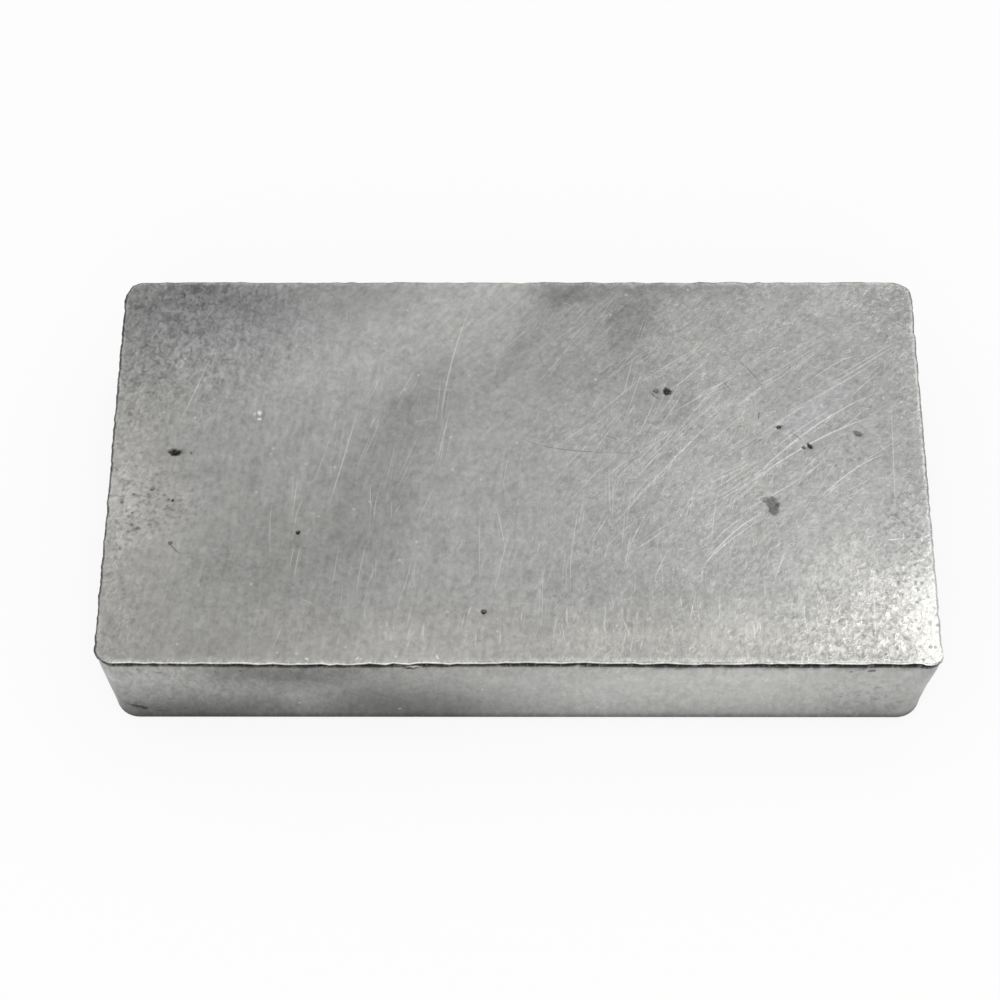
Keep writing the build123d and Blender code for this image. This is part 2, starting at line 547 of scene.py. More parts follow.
def struck_marks(x, y):
    """Depth of the rough skin and the pits of the struck face, and its bright and dirty places."""
    flat = np.zeros(len(x))
    depth = rough_skin(x, y) * (SKIN_DEPTH + ripple(x, y, flat, *SKIN_LUMPS))
    shine = np.zeros(len(x))
    dirt = np.zeros(len(x))
    for scratch in SCRATCHES:
        at = scratch.near(x, y, scratch.MARGIN)
        gap, share = scratch.measure(x[at], y[at])
        taper = scratch.taper(share)
        width = scratch.half_width * taper + scratch.LEAST_WIDTH
        inside = np.clip((1 - gap / width) / (1 - scratch.CORE), 0, 1) * taper
        target = shine if scratch.shine > 0 else dirt
        target[at] = np.maximum(target[at], inside * abs(scratch.shine))
    for pit in PITS:
        share = pit.share(x, y)
        depth += pit.depth * smooth(0, pit.WALL, pit.BRIM - share)
        target = dirt if pit.dirt > 0 else shine
        np.maximum(target, smooth(0, pit.DIRT_FADE, pit.DIRT_BRIM - share) * abs(pit.dirt), out=target)
    return np.maximum(depth, 0), shine, dirt


# Modelling

def deselect_all():
    bpy.ops.object.select_all(action="DESELECT")


def select_edges(test):
    """In edit mode, selects the edges whose two ends pass the test."""
    mesh = bmesh.from_edit_mesh(bpy.context.object.data)
    for edge in mesh.edges:
        edge.select_set(False)
    for edge in mesh.edges:
        if test(*edge.verts):
            edge.select_set(True)
    bmesh.update_edit_mesh(bpy.context.object.data)


def outline_loop(inset, height, corner):
    """A rounded rectangle as a closed loop of edges, its straight sides evenly divided."""
    deselect_all()
    bpy.ops.mesh.primitive_plane_add(size=1, location=(0, 0, height * MM))
    loop = bpy.context.object
    loop.scale = ((LENGTH - 2 * inset) * MM, (WIDTH - 2 * inset) * MM, 1)
    bpy.ops.object.transform_apply(location=True, rotation=False, scale=True)
    bpy.ops.object.mode_set(mode="EDIT")
    bpy.ops.mesh.select_all(action="SELECT")
    bpy.ops.mesh.bevel(offset=corner * MM, segments=CORNER_STEPS, affect="VERTICES")
    bpy.ops.mesh.select_all(action="SELECT")
    bpy.ops.mesh.delete(type="ONLY_FACE")
    side = WIDTH / 2 * MM
    select_edges(lambda start, end: abs(start.co.x - end.co.x) > side)
    bpy.ops.mesh.subdivide(number_cuts=LONG_SIDE_CUTS)
    select_edges(lambda start, end: abs(start.co.y - end.co.y) > side)
    bpy.ops.mesh.subdivide(number_cuts=SHORT_SIDE_CUTS)
    bpy.ops.object.mode_set(mode="OBJECT")
    return loop


def edge_section():
    """The bar's edge from the base up to the struck face.

    Each corner has an inset, a height, a plan radius and the number of rows up to the next corner.
    """
    brim = HEIGHT - WALL_TOP
    foot = HEIGHT - LIP_FOOT
    wall_corner = LIP_CORNER - WALL_INSET
    crease_corner = LIP_CORNER - CREASE_INSET
    section = []
    for step in range(BASE_ROUND_STEPS + 1):
        angle = math.pi / 2 * step / BASE_ROUND_STEPS
        out = BASE_ROUND * (1 - math.sin(angle))
        rows = WALL_ROWS if step == BASE_ROUND_STEPS else 0
        section.append((BASE_INSET + out, BASE_ROUND * (1 - math.cos(angle)), BASE_CORNER - out, rows))
    section.append((WALL_INSET + GRIME_SHADE_INSET, brim - GRIME_SHADE_REACH, wall_corner + GRIME_SHADE_CORNER, 1))
    section.append((WALL_INSET, brim - WALL_BRIM, wall_corner, 0))
    section.append((WALL_INSET, brim, wall_corner, 0))
    section.append((CREASE_INSET, brim + WALL_BRIM, crease_corner, 0))
    section.append((CREASE_INSET, foot - LIP_UNDERSIDE, crease_corner, 0))
    section.append((LIP_FOOT_INSET, foot, LIP_CORNER - LIP_FOOT_INSET, 0))
    for step in range(ROLL_STEPS + 1):
        angle = math.pi / 2 * step / ROLL_STEPS
        inset = LIP_ROLL * (1 - math.cos(angle))
        height = HEIGHT - LIP_DROP * (1 - math.sin(angle))
        section.append((inset, height, LIP_CORNER - inset, 0))
    return section


def bridged_walls():
    """The bar's walls and lip: one loop for each corner of the section, bridged from each to the next."""
    section = edge_section()
    loops = [outline_loop(*corner[:3]) for corner in section]
    size = len(loops[0].data.vertices)
    deselect_all()
    for loop in loops:
        loop.select_set(True)
    bpy.context.view_layer.objects.active = loops[0]
    bpy.ops.object.join()
    walls = bpy.context.object
    bpy.ops.object.mode_set(mode="EDIT")
    bpy.ops.mesh.select_mode(type="EDGE")

    def loop_of(corner):
        return corner.index // size

    for index, (_, _, _, rows) in enumerate(section[:-1]):
        pair = (index, index + 1)
        select_edges(lambda start, end: loop_of(start) == loop_of(end) and loop_of(start) in pair)
        bpy.ops.mesh.bridge_edge_loops(number_cuts=rows)
    bpy.ops.object.mode_set(mode="OBJECT")
    return walls


def border_of(walls, height):
    """The corners of the walls' open border at that height, in order round the bar, in millimetres."""
    found = [v.co / MM for v in walls.data.vertices if abs(v.co.z / MM - height) < FLAT]
    return sorted(((p.x, p.y) for p in found), key=lambda p: math.atan2(p[1], p[0]))


def scattered_points(spacing, reach, seed):
    """An even but irregular field of points over the face."""
    chance = np.random.default_rng(seed)
    across = np.arange(-LENGTH / 2, LENGTH / 2, spacing)
    rows = np.arange(-WIDTH / 2, WIDTH / 2, spacing * ROW_SPACING)
    x, y = np.meshgrid(across, rows)
    x[1::2] += spacing / 2
    x = (x + chance.uniform(-JITTER, JITTER, x.shape) * spacing).ravel()
    y = (y + chance.uniform(-JITTER, JITTER, y.shape) * spacing).ravel()
    inside = rim_distance(x, y)[0] > reach
    return x[inside], y[inside]


def clear_of_marks(x, y, margin):
    """Which points lie clear of every scratch and pit."""
    clear = np.ones(len(x), bool)
    for scratch in SCRATCHES:
        at = scratch.near(x, y, margin)
        gap, _ = scratch.measure(x[at], y[at])
        clear[at] &= gap > scratch.half_width + margin
    for pit in PITS:
        clear &= pit.share(x, y) > 1 + margin / pit.half.min()
    return clear


def sheet_of(name, border, points, lines, height):
    """A flat sheet of triangles inside a border, with corners at the points and edges along the lines."""
    corners = [Vector(p) for p in border]
    edges = [(i, (i + 1) % len(border)) for i in range(len(border))]
    corners += [Vector(p) for p in points]
    for line in lines:
        first = len(corners)
        corners += [Vector(p) for p in line]
        edges += [(first + i, first + i + 1) for i in range(len(line) - 1)]
    flat, _, faces, *_ = delaunay_2d_cdt(corners, edges, [], 1, SAME_POINT)
    mesh = bpy.data.meshes.new(name)
    mesh.from_pydata([(p.x * MM, p.y * MM, height * MM) for p in flat], [], faces)
    sheet = bpy.data.objects.new(name, mesh)
    bpy.context.collection.objects.link(sheet)
    return sheet


def struck_sheet(border):
    """The struck face, cut along its scratches and round its pits."""
    x, y = scattered_points(FACE_SPACING, LIP_ROLL + FACE_SPACING / 2, FACE_SEED)
    keep = clear_of_marks(x, y, FACE_MARGIN) & (rough_skin(x, y) < ROUGH_ENOUGH)
    wide = np.stack([x[keep], y[keep]], 1)
    x, y = scattered_points(ROUGH_SPACING, LIP_ROLL + ROUGH_SPACING / 2, ROUGH_SEED)
    keep = clear_of_marks(x, y, ROUGH_MARGIN) & (rough_skin(x, y) >= ROUGH_ENOUGH)
    close = np.stack([x[keep], y[keep]], 1)
    lines = [line for mark in SCRATCHES + PITS for line in mark.edges()]
    return sheet_of("struck_face", border, np.concatenate([wide, close]), lines, HEIGHT)


def base_sheet(border):
    x, y = scattered_points(BASE_SPACING, BASE_INSET + BASE_ROUND + BASE_SPACING / 2, BASE_SEED)
    return sheet_of("base_face", border, np.stack([x, y], 1), [], 0)


def one_piece(parts):
    """Joins the parts and closes the seams between them."""
    deselect_all()
    for part in parts:
        part.select_set(True)
    bpy.context.view_layer.objects.active = parts[0]
    bpy.ops.object.join()
    piece = bpy.context.object
    bpy.ops.object.mode_set(mode="EDIT")
    bpy.ops.mesh.select_all(action="SELECT")
    bpy.ops.mesh.remove_doubles(threshold=SEAM_GAP * MM)
    bpy.ops.mesh.normals_make_consistent(inside=False)
    bpy.ops.object.mode_set(mode="OBJECT")
    return piece


def places_of(piece):
    """The corners of a piece as three arrays, in millimetres."""
    places = np.empty(len(piece.data.vertices) * 3, np.float32)
    piece.data.vertices.foreach_get("co", places)
    return places.reshape(-1, 3).astype(float).T / MM


# Ripples of the lip and the walls: height, size and seed, in millimetres
LIP_SWAY = (0.1, 9.0, 1.0)
LIP_TEETH = (0.17, 2.4, 5.0)
LIP_CRUMBS = (0.18, 1.0, 6.0)
WALL_SWELL = (0.05, 11.0, 2.0)
WALL_DENTS = (0.02, 2.6, 4.0)
WALL_HOLLOW = 0.05  # mean depth of the walls' waves

LIP_DRAWN_IN = 0.14  # how far the lip is drawn in, apart from the front
FULLER_RIGHT = 0.7  # share of that which is missing on the right
CORNER_SPILL = 0.65  # how far the metal spilled out over the mould's front right corner

# How far the front lip is drawn in: place along it and distance
FRONT_LIP = [
    (-60, 0.34),
    (-53, 0.46),
    (-42, 0.3),
    (-31, 0.16),
    (-18, 0.28),
    (0, 0.46),
    (12, 0.4),
    (25, 0.24),
    (60, 0.3),
]


def uneven(x, y, z):
    """Where the bar's corners lie once its lip is ragged, its walls wavy and its struck face marked."""
    inside, out_x, out_y = rim_distance(x, y)
    under = HEIGHT - z
    down = np.clip((under - WALL_TOP) / (HEIGHT - WALL_TOP), 0, 1)
    level = np.zeros(len(x))
    front = smooth(0.6, 0.95, -out_y)
    right = smooth(0.5, 0.9, out_x)

    drawn_in = (LIP_DRAWN_IN + ripple(x, y, level, *LIP_SWAY)) * (1 - FULLER_RIGHT * right)
    drawn_in = drawn_in + front * (np.interp(x, *zip(*FRONT_LIP)) - drawn_in)
    front_right = np.maximum(-2 * out_x * out_y, 0) * (x > 0) * (y < 0)
    spill = CORNER_SPILL * front_right * (1 - down)
    ragged = ripple(x, y, level, *LIP_TEETH) + ripple(x, y, level, *LIP_CRUMBS)
    near_rim = 1 - smooth(0.2, 2.0, inside)
    upper = 1 - smooth(WALL_TOP, WALL_TOP + 2.5, under)
    lip = 1 - smooth(LIP_FOOT, LIP_FOOT + 0.1, under)
    pull = (np.maximum(drawn_in * upper + ragged * lip, 0) - spill) * near_rim

    on_wall = smooth(0.6, 2.5, z) * smooth(WALL_TOP - 0.02, WALL_TOP + 0.6, under)
    waves = WALL_HOLLOW + ripple(x, y, z, *WALL_SWELL) + ripple(x, y, z, *WALL_DENTS)
    pull += on_wall * np.maximum(waves, 0)

    drop = broad_waves(x, y) * (1 - smooth(0.3, 3.0, under))
    drop += np.where(under < FLAT, struck_marks(x, y)[0], 0)
    narrowed = 1 - END_LEAN * down / (LENGTH / 2)
    moved_x = np.clip((x - out_x * pull) * narrowed, -LENGTH / 2, LENGTH / 2)
    moved_y = np.clip(y - out_y * pull, -WIDTH / 2, WIDTH / 2)
    return moved_x, moved_y, z - drop


# Ripples that bend and fray the patches and the crease's grime and painted shade: height, size and seed, in
# millimetres
PATCH_BEND_X = (2.4, 7.0, 11.0)
PATCH_FRAY_X = (0.8, 2.3, 13.0)
PATCH_BEND_Y = (2.4, 7.0, 17.0)
PATCH_FRAY_Y = (0.8, 2.3, 19.0)
PATCH_BEND_UP = 0.6  # how much of the bend across the face bends patches up and down the front wall
GRIME_SHADE_SWAY = (0.25, 2.4, 31.0)
GRIME_SHADE_FRAY = (0.15, 0.9, 37.0)

# Clouds on the walls and the base: strength, size and seed
WALL_CLOUDS = (0.1, 13.0, 23.0)
BASE_CLOUDS = (0.12, 13.0, 29.0)

# Painted shade of the walls: darkest at the foot and lighter upwards
WALL_FOOT_SHADE = -0.53
WALL_RISE = 0.5

# Grime and painted shade, with depths under the struck face in millimetres
GRIME_SHADE_END = WALL_TOP - 0.05  # where the crease's grime and painted shade end, before they sway
GRIME_SHADE_FADE = 0.5
FRONT_GRIME_SHADE = 0.37  # how much further down it reaches at the front
RIGHT_GRIME_SHADE = 0.15  # and how much more on the right half of the front
RIGHT_LIFT = 0.06  # how much higher it starts there
HIDDEN_GRIME_SHADE = 0.8  # its strength on the other sides
MORE_IN_FRONT = 0.2  # how much stronger it is at the front
LEFT_RIM_DARKENING = 0.8
RIGHT_RIM_DARKENING = 0.6
BACK_RIM_DARKENING = 0.4
BASE_EDGE_TARNISH_AND_SHADE = 0.75

# Skin of the bar
LEFT_WEAR_AND_SHEEN = 0.5  # share of the lip's wear and painted sheen that its left half has
LEFT_RAWNESS = 0.5  # share of the skin's roughness that shows on the left half of the face
RIGHT_RAWNESS = 0.25  # least rawness of the right half
BASE_RAWNESS = 0.4
SIDE_RAWNESS = 0.1
LEFT_SIDE_COIL = 0.55
SIDE_COIL_LOSS = 0.4  # how much weaker the coils on the walls get to the right
BASE_SOOT = 0.2
FACE_WARMTH = 0.4
SIDE_WARMTH = 0.6
SWEEP_SLANT = 0.9  # slant of the line where the two directions of brushing meet


def surface(x, y, z):
    """What the bar's surface is like at each corner: named values for its finish."""
    inside, out_x, out_y = rim_distance(x, y)
    under = HEIGHT - z
    level = np.zeros(len(x))
    on_face = under < FLAT
    on_base = z < FLAT
    on_side = ~(on_face | on_base)
    front = smooth(0.5, 0.9, -out_y)
    near_top = 1 - smooth(0.3, 1.2, under)
    _, shine, mark_dirt = struck_marks(x, y)

    bent_x = x + ripple(x, y, level, *PATCH_BEND_X) + ripple(x, y, level, *PATCH_FRAY_X)
    bent_y = y + ripple(x, y, level, *PATCH_BEND_Y) + ripple(x, y, level, *PATCH_FRAY_Y)
    bent_z = z + PATCH_BEND_UP * (bent_y - y)
    # Painted shade: the walls get darker towards the foot
    wall_tone = WALL_RISE * z / HEIGHT + WALL_FOOT_SHADE + ripple(x, y, z, *WALL_CLOUDS)
    wall_tone += front * soft_patches(FRONT_STAINS_AND_SHADING, bent_x, bent_z)
    base_tone = ripple(x, y, level, *BASE_CLOUDS)
    # Stains and painted reflections on the struck face
    face_tone = soft_patches(FACE_STAINS_AND_REFLECTIONS, bent_x, bent_y)
    tone = np.where(on_base, base_tone, near_top * face_tone + (1 - near_top) * wall_tone)
    face_soot = np.clip(soft_patches(SOOTY_PLACES, bent_x, bent_y), 0, 1)
    front_soot = np.clip(soft_patches(FRONT_SOOT, bent_x, bent_z), 0, 1)
    soot = face_soot * on_face + front_soot * front * on_side + BASE_SOOT * on_base
    warm = np.where(on_face, FACE_WARMTH + soft_patches(WARM_PLACES, bent_x, bent_y), SIDE_WARMTH)

    # Grime and painted shade in the crease under the lip, strongest at the front
    thick = smooth(0, 20, x) * front
    fringe = GRIME_SHADE_END + ripple(x, y, level, *GRIME_SHADE_SWAY) + ripple(x, y, level, *GRIME_SHADE_FRAY)
    fringe += FRONT_GRIME_SHADE * front + RIGHT_GRIME_SHADE * thick
    crease = smooth(0.16, 0.3, under + RIGHT_LIFT * thick) * (1 - smooth(fringe, fringe + GRIME_SHADE_FADE, under))
    crease *= HIDDEN_GRIME_SHADE + MORE_IN_FRONT * front
    # Darker along the left, right and back rims
    left_rim = smooth(0.5, 0.8, -out_x) * (1 - smooth(0.2, 0.44, inside))
    right_rim = smooth(0.6, 0.95, out_x) * (1 - smooth(0.08, 0.2, inside)) * smooth(-12, 2, y)
    back_rim = smooth(0.6, 0.95, out_y) * (1 - smooth(0.1, 0.34, inside))
    rims = [LEFT_RIM_DARKENING * left_rim, RIGHT_RIM_DARKENING * right_rim, BACK_RIM_DARKENING * back_rim]
    rim_darkening = near_top * np.maximum.reduce(rims)
    # Tarnish and painted shade along the foot of the walls
    base_tarnish_and_shade = BASE_EDGE_TARNISH_AND_SHADE * (1 - smooth(0.2, 2.2, z)) * on_side
    # dirt holds the marks' dirt, the crease's grime and painted shade, the darkening along the rims, and the
    # base's tarnish and painted shade
    dirt = np.maximum.reduce([mark_dirt * on_face, crease, rim_darkening, base_tarnish_and_shade])
    # Wear and painted sheen along the lip's roll, weaker on the left
    wear_and_sheen = smooth(0.04, 0.12, inside) * (1 - smooth(0.36, 0.56, inside)) * (1 - smooth(0.08, 0.2, under))
    wear_and_sheen *= LEFT_WEAR_AND_SHEEN + (1 - LEFT_WEAR_AND_SHEEN) * smooth(-10, 45, x)

    rough = rough_skin(x, y) * (LEFT_RAWNESS + (1 - LEFT_RAWNESS) * smooth(-30, 20, x))
    face_raw = np.maximum(rough, RIGHT_RAWNESS * smooth(-12, 24, x))
    raw = np.where(on_face, face_raw, np.where(on_base, BASE_RAWNESS, SIDE_RAWNESS))
    side_coil = LEFT_SIDE_COIL - SIDE_COIL_LOSS * smooth(-55, 5, x)
    coil = np.where(on_face, coiled_skin(x, y), side_coil)
    sweep = smooth(-12, 14, x + SWEEP_SLANT * y) * on_face
    return {
        "tone": tone,
        "shine": shine * on_face,
        "dirt": dirt,
        "wear_and_sheen": wear_and_sheen,
        "raw": raw,
        "coil": coil,
        "soot": soot,
        "warm": warm,
        "sweep": sweep,
        "struck": on_face.astype(float),
    }


def model_ingot():
    walls = bridged_walls()
    face = struck_sheet(border_of(walls, HEIGHT))
    base = base_sheet(border_of(walls, 0))
    ingot = one_piece([walls, face, base])
    ingot.name = "cast_ingot"
    x, y, z = places_of(ingot)
    for name, values in surface(x, y, z).items():
        layer = ingot.data.attributes.new(name, "FLOAT", "POINT")
        layer.data.foreach_set("value", values.astype(np.float32))
    moved = np.stack(uneven(x, y, z), 1) * MM
    ingot.data.vertices.foreach_set("co", moved.astype(np.float32).ravel())
    ingot.data.update()
    deselect_all()
    ingot.select_set(True)
    bpy.context.view_layer.objects.active = ingot
    bpy.ops.object.shade_smooth_by_angle(angle=SHARP_ANGLE)
    return ingot


# Finish

# Patterns of the metal: bumps to a millimetre along x, y and z, detail, roughness and curl
COILS = ((1.15, 0.9, 0.6), 0.0, 0.5, 1.3)
CURLS = ((1.1, 1.1, 0.6), 1.0, 0.5, 0.6)
RELIEF = ((1.4, 1.0, 0.7), 0.6, 0.5, 0.6)
MOTTLE = ((1.4, 1.4, 0.9), 1.0, 0.6, 0.0)
GRAIN = ((2.6, 2.6, 1.5), 1.0, 0.5, 0.0)
BLOTCHES = ((0.3, 0.3, 0.3), 3.0, 0.6, 0.0)
HUES = ((0.25, 0.25, 0.25), 1.0, 0.5, 0.0)
WORMS = ((0.9, 0.65, 0.9), 0.0, 0.5, 1.0)
WORM_PLACES = ((0.55, 0.55, 0.55), 1.0, 0.5, 0.0)
LONG_STROKES = ((0.9, 0.04, 0.3), 3.0, 0.7, 0.0)
SHORT_STROKES = ((1.5, 0.5, 1.2), 1.0, 0.5, 0.4)

# Specks: cells to a millimetre, size in the cell and share of the cells that have one
GLINTS = (0.42, 0.13, 0.3)
SOOT_SPECKS = (0.75, 0.28, 0.45)
CORNER_SPECKS = (0.8, 0.32, 0.9)

# How strongly patterns show in the metal's brightness: on rubbed metal, and how much more on raw skin
CURLS_SHOW = (0.42, 0.3)
RELIEF_SHOWS = (0.1, 0.2)
WORMS_SHOW = (0.05, 0.5)
SKIN_HEIGHT = (0.2, 0.8)  # the same for their height
GRAIN_SHOWS = 0.12
BLOTCHES_SHOW = 0.35
LONG_STROKES_SHOW = 0.3
SHORT_STROKES_SHOW = 0.35

LEFT_BRUSHING = 8  # how far the brushing of each half leans to the right of the bar's width, in degrees
RIGHT_BRUSHING = 42

PLAIN_METAL = 0.385  # how much light the plain metal gives back
# Colour of bright metal and of painted sheen
BRIGHT_METAL_AND_SHEEN = 0.85
# Colour of dirt and of painted shade
DIRT_AND_SHADE = 0.03
PLAIN_ROUGHNESS = 0.34
BUMP_HEIGHT = 0.08  # in millimetres
BLACK = (0, 0, 0, 1)
WHITE = (1, 1, 1, 1)
COOL_TINT = (0.985, 0.995, 0.99, 1)
WARM_TINT = (1, 0.985, 0.935, 1)


class Signal:
    """A socket of a node tree. Arithmetic on it adds Math nodes."""

    def __init__(self, finish, socket):
        self.finish = finish
        self.socket = socket

    def combine(self, operation, first, second):
        return self.finish.node("ShaderNodeMath", {"operation": operation}, {0: first, 1: second})

    def __add__(self, other):
        return self.combine("ADD", self, other)

    def __radd__(self, other):
        return self.combine("ADD", other, self)

    def __sub__(self, other):
        return self.combine("SUBTRACT", self, other)

    def __rsub__(self, other):
        return self.combine("SUBTRACT", other, self)

    def __mul__(self, other):
        return self.combine("MULTIPLY", self, other)

    def __rmul__(self, other):
        return self.combine("MULTIPLY", other, self)

    def __abs__(self):
        return self.finish.node("ShaderNodeMath", {"operation": "ABSOLUTE"}, {0: self})


class Finish:
    """A node tree that is written as expressions."""

    def __init__(self, tree):
        self.tree = tree
        tree.nodes.clear()

    def node(self, kind, settings=None, inputs=None, output=0):
        """Adds a node, sets its settings first, then fills its sockets with values or links."""
        node = self.tree.nodes.new(kind)
        for name, value in (settings or {}).items():
            setattr(node, name, value)
        for name, value in (inputs or {}).items():
            if isinstance(value, Signal):
                self.tree.links.new(value.socket, node.inputs[name])
            else:
                node.inputs[name].default_value = value
        return Signal(self, node.outputs[output]) if len(node.outputs) else node

    def attribute(self, name):
        return self.node("ShaderNodeAttribute", {"attribute_name": name}, output="Fac")

    def noise(self, position, bumps, detail, rough, curl):
        """Noise about 0, most of it between -0.25 and 0.25."""
        inputs = {
            "Vector": self.scaled(position, bumps),
            "Scale": 1.0,
            "Detail": detail,
            "Roughness": rough,
            "Distortion": curl,
        }
        return self.node("ShaderNodeTexNoise", None, inputs) - 0.5

    def step(self, value, low, high, bottom=0.0, top=1.0):
        """An even S from bottom to top as the value goes from low to high."""
        settings = {"interpolation_type": "SMOOTHSTEP"}
        inputs = {0: value, 1: low, 2: high, 3: bottom, 4: top}
        return self.node("ShaderNodeMapRange", settings, inputs)

    def mix(self, share, first, second):
        """A colour between two others."""
        settings = {"data_type": "RGBA"}
        return self.node("ShaderNodeMix", settings, {0: share, 6: first, 7: second}, output=2)

    def scaled(self, vector, scale):
        return self.node("ShaderNodeVectorMath", {"operation": "MULTIPLY"}, {0: vector, 1: scale})

    def turned(self, vector, degrees):
        """A vector turned about the upright axis."""
        inputs = {"Vector": vector, "Angle": math.radians(degrees)}
        return self.node("ShaderNodeVectorRotate", {"rotation_type": "Z_AXIS"}, inputs)

    def brushed(self, position, degrees):
        """Long and short strokes that lean that far to the right of the bar's width."""
        along = self.turned(position, degrees)
        long = self.noise(along, *LONG_STROKES)
        short = self.noise(along, *SHORT_STROKES)
        return long * LONG_STROKES_SHOW + short * SHORT_STROKES_SHOW

    def specks(self, position, scale, radius, share):
        """Small spots in a share of the cells of a Voronoi pattern."""
        inputs = {"Vector": position, "Scale": scale}
        gap = self.node("ShaderNodeTexVoronoi", None, inputs, output="Distance")
        cell = self.node("ShaderNodeTexVoronoi", None, inputs, output="Color")
        chosen = self.node("ShaderNodeSeparateColor", None, {0: cell}, output="Red")
        return self.step(gap, radius, radius * 0.5) * self.step(chosen, 1 - share, 1.02 - share)

    def spot(self, position, middle, half, tilt):
        """1 inside an upright ellipse, 0 outside it."""
        inputs = {
            "Vector": position,
            "Location": middle,
            "Rotation": (0, math.radians(tilt), 0),
            "Scale": half,
        }
        local = self.node("ShaderNodeMapping", {"vector_type": "TEXTURE"}, inputs)
        reach = self.node("ShaderNodeVectorMath", {"operation": "LENGTH"}, {0: local}, output="Value")
        return self.step(reach, 1.15, 0.6)


def toward(value, goal, share):
    """A value moved that share of the way to a goal."""
    return value + share * (goal - value)


def shown(raw, strength):
    """How strongly a pattern shows, from its strength on rubbed metal and what raw skin adds."""
    rubbed, more = strength
    return raw * more + rubbed


def cast_metal():
    material = bpy.data.materials.new("cast_metal")
    material.use_nodes = True
    finish = Finish(material.node_tree)
    place = finish.node("ShaderNodeTexCoord", output="Object")
    mm = finish.scaled(place, (1 / MM,) * 3)
    tone = finish.attribute("tone")
    shine = finish.attribute("shine")
    dirt = finish.attribute("dirt")
    wear_and_sheen = finish.attribute("wear_and_sheen")
    raw = finish.attribute("raw")
    coil = finish.attribute("coil")
    soot = finish.attribute("soot")
    warm = finish.attribute("warm")
    sweep = finish.attribute("sweep")
    struck = finish.attribute("struck")

    coils = finish.noise(mm, *COILS)
    curls = finish.noise(mm, *CURLS)
    relief = finish.noise(mm, *RELIEF)
    mottle = finish.noise(mm, *MOTTLE)
    grain = finish.noise(mm, *GRAIN)
    blotches = finish.noise(mm, *BLOTCHES)
    hues = finish.noise(mm, *HUES)
    ridges = finish.step(abs(finish.noise(mm, *WORMS)), 0.085, 0.0)
    worms = ridges * finish.step(finish.noise(mm, *WORM_PLACES) + raw * 0.2, -0.08, 0.14)
    left_rub = finish.brushed(mm, LEFT_BRUSHING) * (1 - sweep)
    right_rub = finish.brushed(mm, RIGHT_BRUSHING) * sweep

    # Where the tone is highest: the painted highlight at the front right corner
    bright = finish.step(tone, 0.25, 0.6)
    calm = 1 - bright * 0.5
    skin = (left_rub + right_rub) * struck + curls * shown(raw, CURLS_SHOW)
    skin = skin + relief * shown(raw, RELIEF_SHOWS) + grain * GRAIN_SHOWS + blotches * BLOTCHES_SHOW
    skin = skin + coils * coil + worms * shown(raw, WORMS_SHOW)
    value = (tone + 1) * (skin * calm + 1) * PLAIN_METAL
    value = toward(value, BRIGHT_METAL_AND_SHEEN, shine)
    # Wear and painted sheen along the lip
    value = toward(value, BRIGHT_METAL_AND_SHEEN, wear_and_sheen * (finish.step(blotches + grain, -0.15, 0.15) * 0.5 + 0.2))
    # Painted glints: bright specks in the colour
    value = toward(value, BRIGHT_METAL_AND_SHEEN, finish.specks(mm, *GLINTS) * 0.3)
    value = toward(value, DIRT_AND_SHADE, finish.specks(mm, *SOOT_SPECKS) * (soot * 0.4 + 0.04))
    value = toward(value, DIRT_AND_SHADE, finish.specks(mm, *CORNER_SPECKS) * bright * 0.45)
    value = toward(value, DIRT_AND_SHADE, finish.step(mottle, 0.05, -0.25) * soot * calm * 0.45)
    # Dirt of the marks, grime and painted shade in the crease, darkening along the rims, tarnish and painted
    # shade at the base
    value = toward(value, DIRT_AND_SHADE, dirt * (1 - finish.step(curls + grain, 0.0, 0.2) * 0.25))
    offset = finish.scaled(grain, (FLECK_RAGGED,) * 3)
    ragged = finish.node("ShaderNodeVectorMath", {"operation": "ADD"}, {0: mm, 1: offset})
    for (along, height), (half_length, half_height), tilt, strength in FRONT_FLECKS:
        middle = (along, -WIDTH / 2 + BASE_INSET / 2, height)
        spot = finish.spot(ragged, middle, (half_length, FLECK_REACH, half_height), tilt)
        goal = BRIGHT_METAL_AND_SHEEN if strength > 0 else DIRT_AND_SHADE
        value = toward(value, goal, spot * abs(strength))

    tint = finish.mix(warm + hues * 0.6, COOL_TINT, WARM_TINT)
    metal = finish.mix(value, BLACK, tint)
    rough = PLAIN_ROUGHNESS - shine * 0.06 + dirt * 0.25 - tone * 0.15 + blotches * 0.1
    height = (relief * 0.6 + coils * 0.5 + worms * 0.3) * shown(raw, SKIN_HEIGHT) * calm + grain * 0.06
    inputs = {"Strength": 1.0, "Distance": BUMP_HEIGHT * MM, "Height": height}
    bump = finish.node("ShaderNodeBump", None, inputs)
    shader = finish.node("ShaderNodeBsdfPrincipled", None, {
        "Base Color": metal,
        "Metallic": 1.0,
        "Roughness": rough,
        "Normal": bump,
    })
    finish.node("ShaderNodeOutputMaterial", None, {"Surface": shader})
    return material


# Stage, with sizes in metres

FLOOR_SIZE = 6
FLOOR_GREY = (0.93, 0.93, 0.93, 1)
FLOOR_GLOW = 0.86  # share of plain white in the floor, as the camera and the metal see it
SKY_LOW = 0.62  # brightness of the sky at the horizon
SKY_HIGH = 0.84  # and overhead
SKY_TOP = 0.9  # height in the sky from which it is as bright as overhead


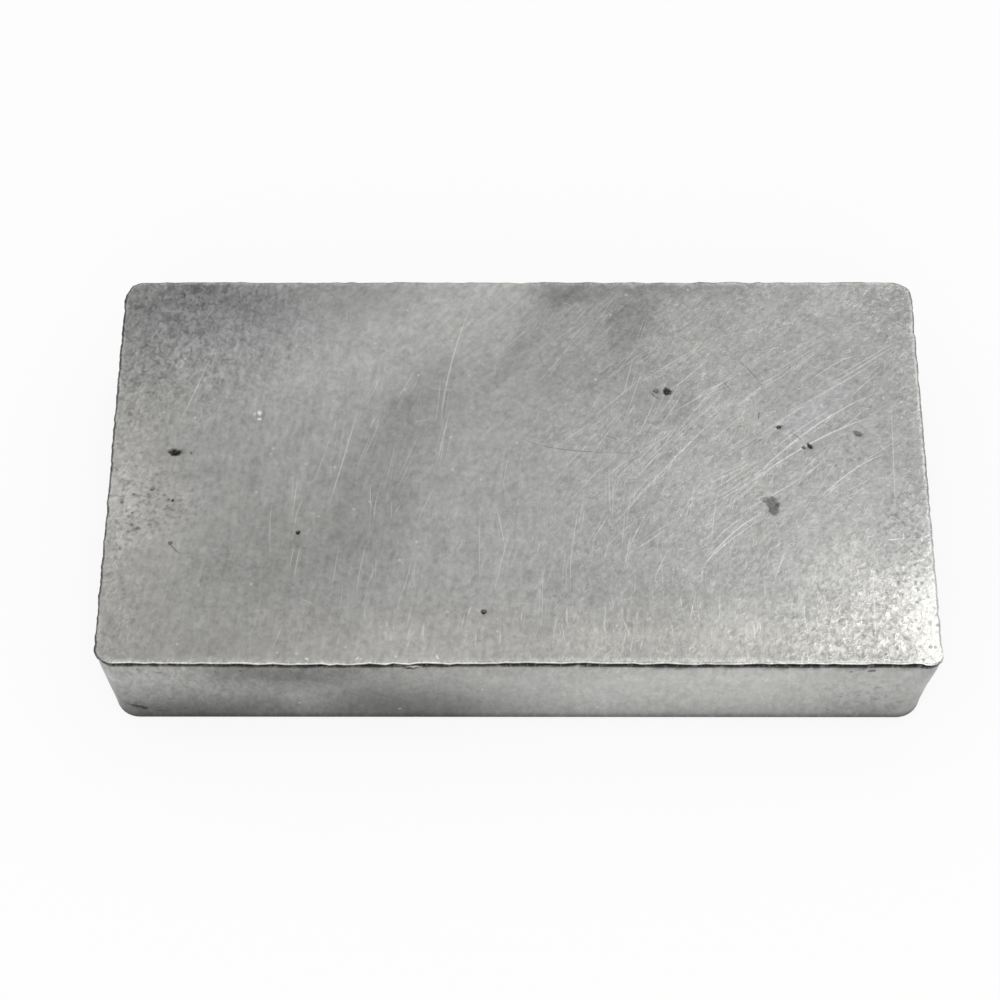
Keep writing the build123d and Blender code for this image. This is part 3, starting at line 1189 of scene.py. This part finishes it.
def pale_floor():
    deselect_all()
    bpy.ops.mesh.primitive_plane_add(size=FLOOR_SIZE, location=(0, 0, 0))
    floor = bpy.context.object
    floor.name = "floor"
    material = bpy.data.materials.new("floor")
    material.use_nodes = True
    finish = Finish(material.node_tree)
    plain = finish.node("ShaderNodeBsdfDiffuse", None, {"Color": FLOOR_GREY})
    white = finish.node("ShaderNodeEmission", None, {"Color": WHITE, "Strength": 1.0})
    by_camera = finish.node("ShaderNodeLightPath", output="Is Camera Ray")
    by_metal = finish.node("ShaderNodeLightPath", output="Is Glossy Ray")
    glow = (by_camera + by_metal) * FLOOR_GLOW
    shader = finish.node("ShaderNodeMixShader", None, {0: glow, 1: plain, 2: white})
    finish.node("ShaderNodeOutputMaterial", None, {"Surface": shader})
    floor.data.materials.append(material)


def studio_light():
    world = bpy.data.worlds.new("studio")
    bpy.context.scene.world = world
    world.use_nodes = True
    finish = Finish(world.node_tree)
    direction = finish.node("ShaderNodeTexCoord", output="Generated")
    up = finish.node("ShaderNodeSeparateXYZ", None, {0: direction}, output="Z")
    level = finish.step(up, 0.0, SKY_TOP, SKY_LOW, SKY_HIGH)
    shader = finish.node("ShaderNodeBackground", None, {"Color": WHITE, "Strength": level})
    finish.node("ShaderNodeOutputWorld", None, {"Surface": shader})


def area_lamp(name, azimuth, elevation, distance, size, radiance):
    """A square soft lamp aimed at the bar. Azimuth 0 is behind the bar and 90 to its right."""
    lamp = bpy.data.lights.new(name, "AREA")
    lamp.size = size
    lamp.energy = math.pi * size * size * radiance
    holder = bpy.data.objects.new(name, lamp)
    turn, lift = math.radians(azimuth), math.radians(elevation)
    toward_lamp = Vector((math.sin(turn) * math.cos(lift), math.cos(turn) * math.cos(lift), math.sin(lift)))
    holder.location = toward_lamp * distance
    holder.rotation_euler = toward_lamp.to_track_quat("Z", "Y").to_euler()
    bpy.context.collection.objects.link(holder)


# Camera, fitted to the photograph's outline, with angles in degrees and lengths in millimetres
CAMERA_AZIMUTH = 0.708
CAMERA_ELEVATION = 56.03
CAMERA_ROLL = 0.572
CAMERA_DISTANCE = 459.3
CAMERA_AIM = (-2.573, -6.164, HEIGHT)
CAMERA_LENS = 113.52
SENSOR = 36.0
CLIP_NEAR = 0.01  # in metres
CLIP_FAR = 100


def photo_camera():
    data = bpy.data.cameras.new("photo_camera")
    data.sensor_width = SENSOR
    data.lens = CAMERA_LENS
    data.clip_start = CLIP_NEAR
    data.clip_end = CLIP_FAR
    camera = bpy.data.objects.new("photo_camera", data)
    bpy.context.collection.objects.link(camera)
    turn = math.radians(CAMERA_AZIMUTH)
    lift = math.radians(CAMERA_ELEVATION)
    roll = math.radians(CAMERA_ROLL)
    back = Vector((math.sin(turn) * math.cos(lift), -math.cos(turn) * math.cos(lift), math.sin(lift)))
    right = Vector((math.cos(turn), math.sin(turn), 0))
    up = back.cross(right)
    side = right * math.cos(roll) - up * math.sin(roll)
    top = right * math.sin(roll) + up * math.cos(roll)
    pose = Matrix((side, top, back)).transposed().to_4x4()
    place = (Vector(CAMERA_AIM) + back * CAMERA_DISTANCE) * MM
    camera.matrix_world = Matrix.Translation(place) @ pose
    bpy.context.scene.camera = camera


ingot = model_ingot()
ingot.data.materials.clear()
ingot.data.materials.append(cast_metal())
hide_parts("ingot")
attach(ingot, "root")
pale_floor()
studio_light()
area_lamp("key", azimuth=32, elevation=62, distance=0.9, size=0.3, radiance=1.3)
area_lamp("fill", azimuth=180, elevation=38, distance=1.2, size=1.0, radiance=1.4)
photo_camera()
bpy.context.scene.view_settings.view_transform = "Standard"
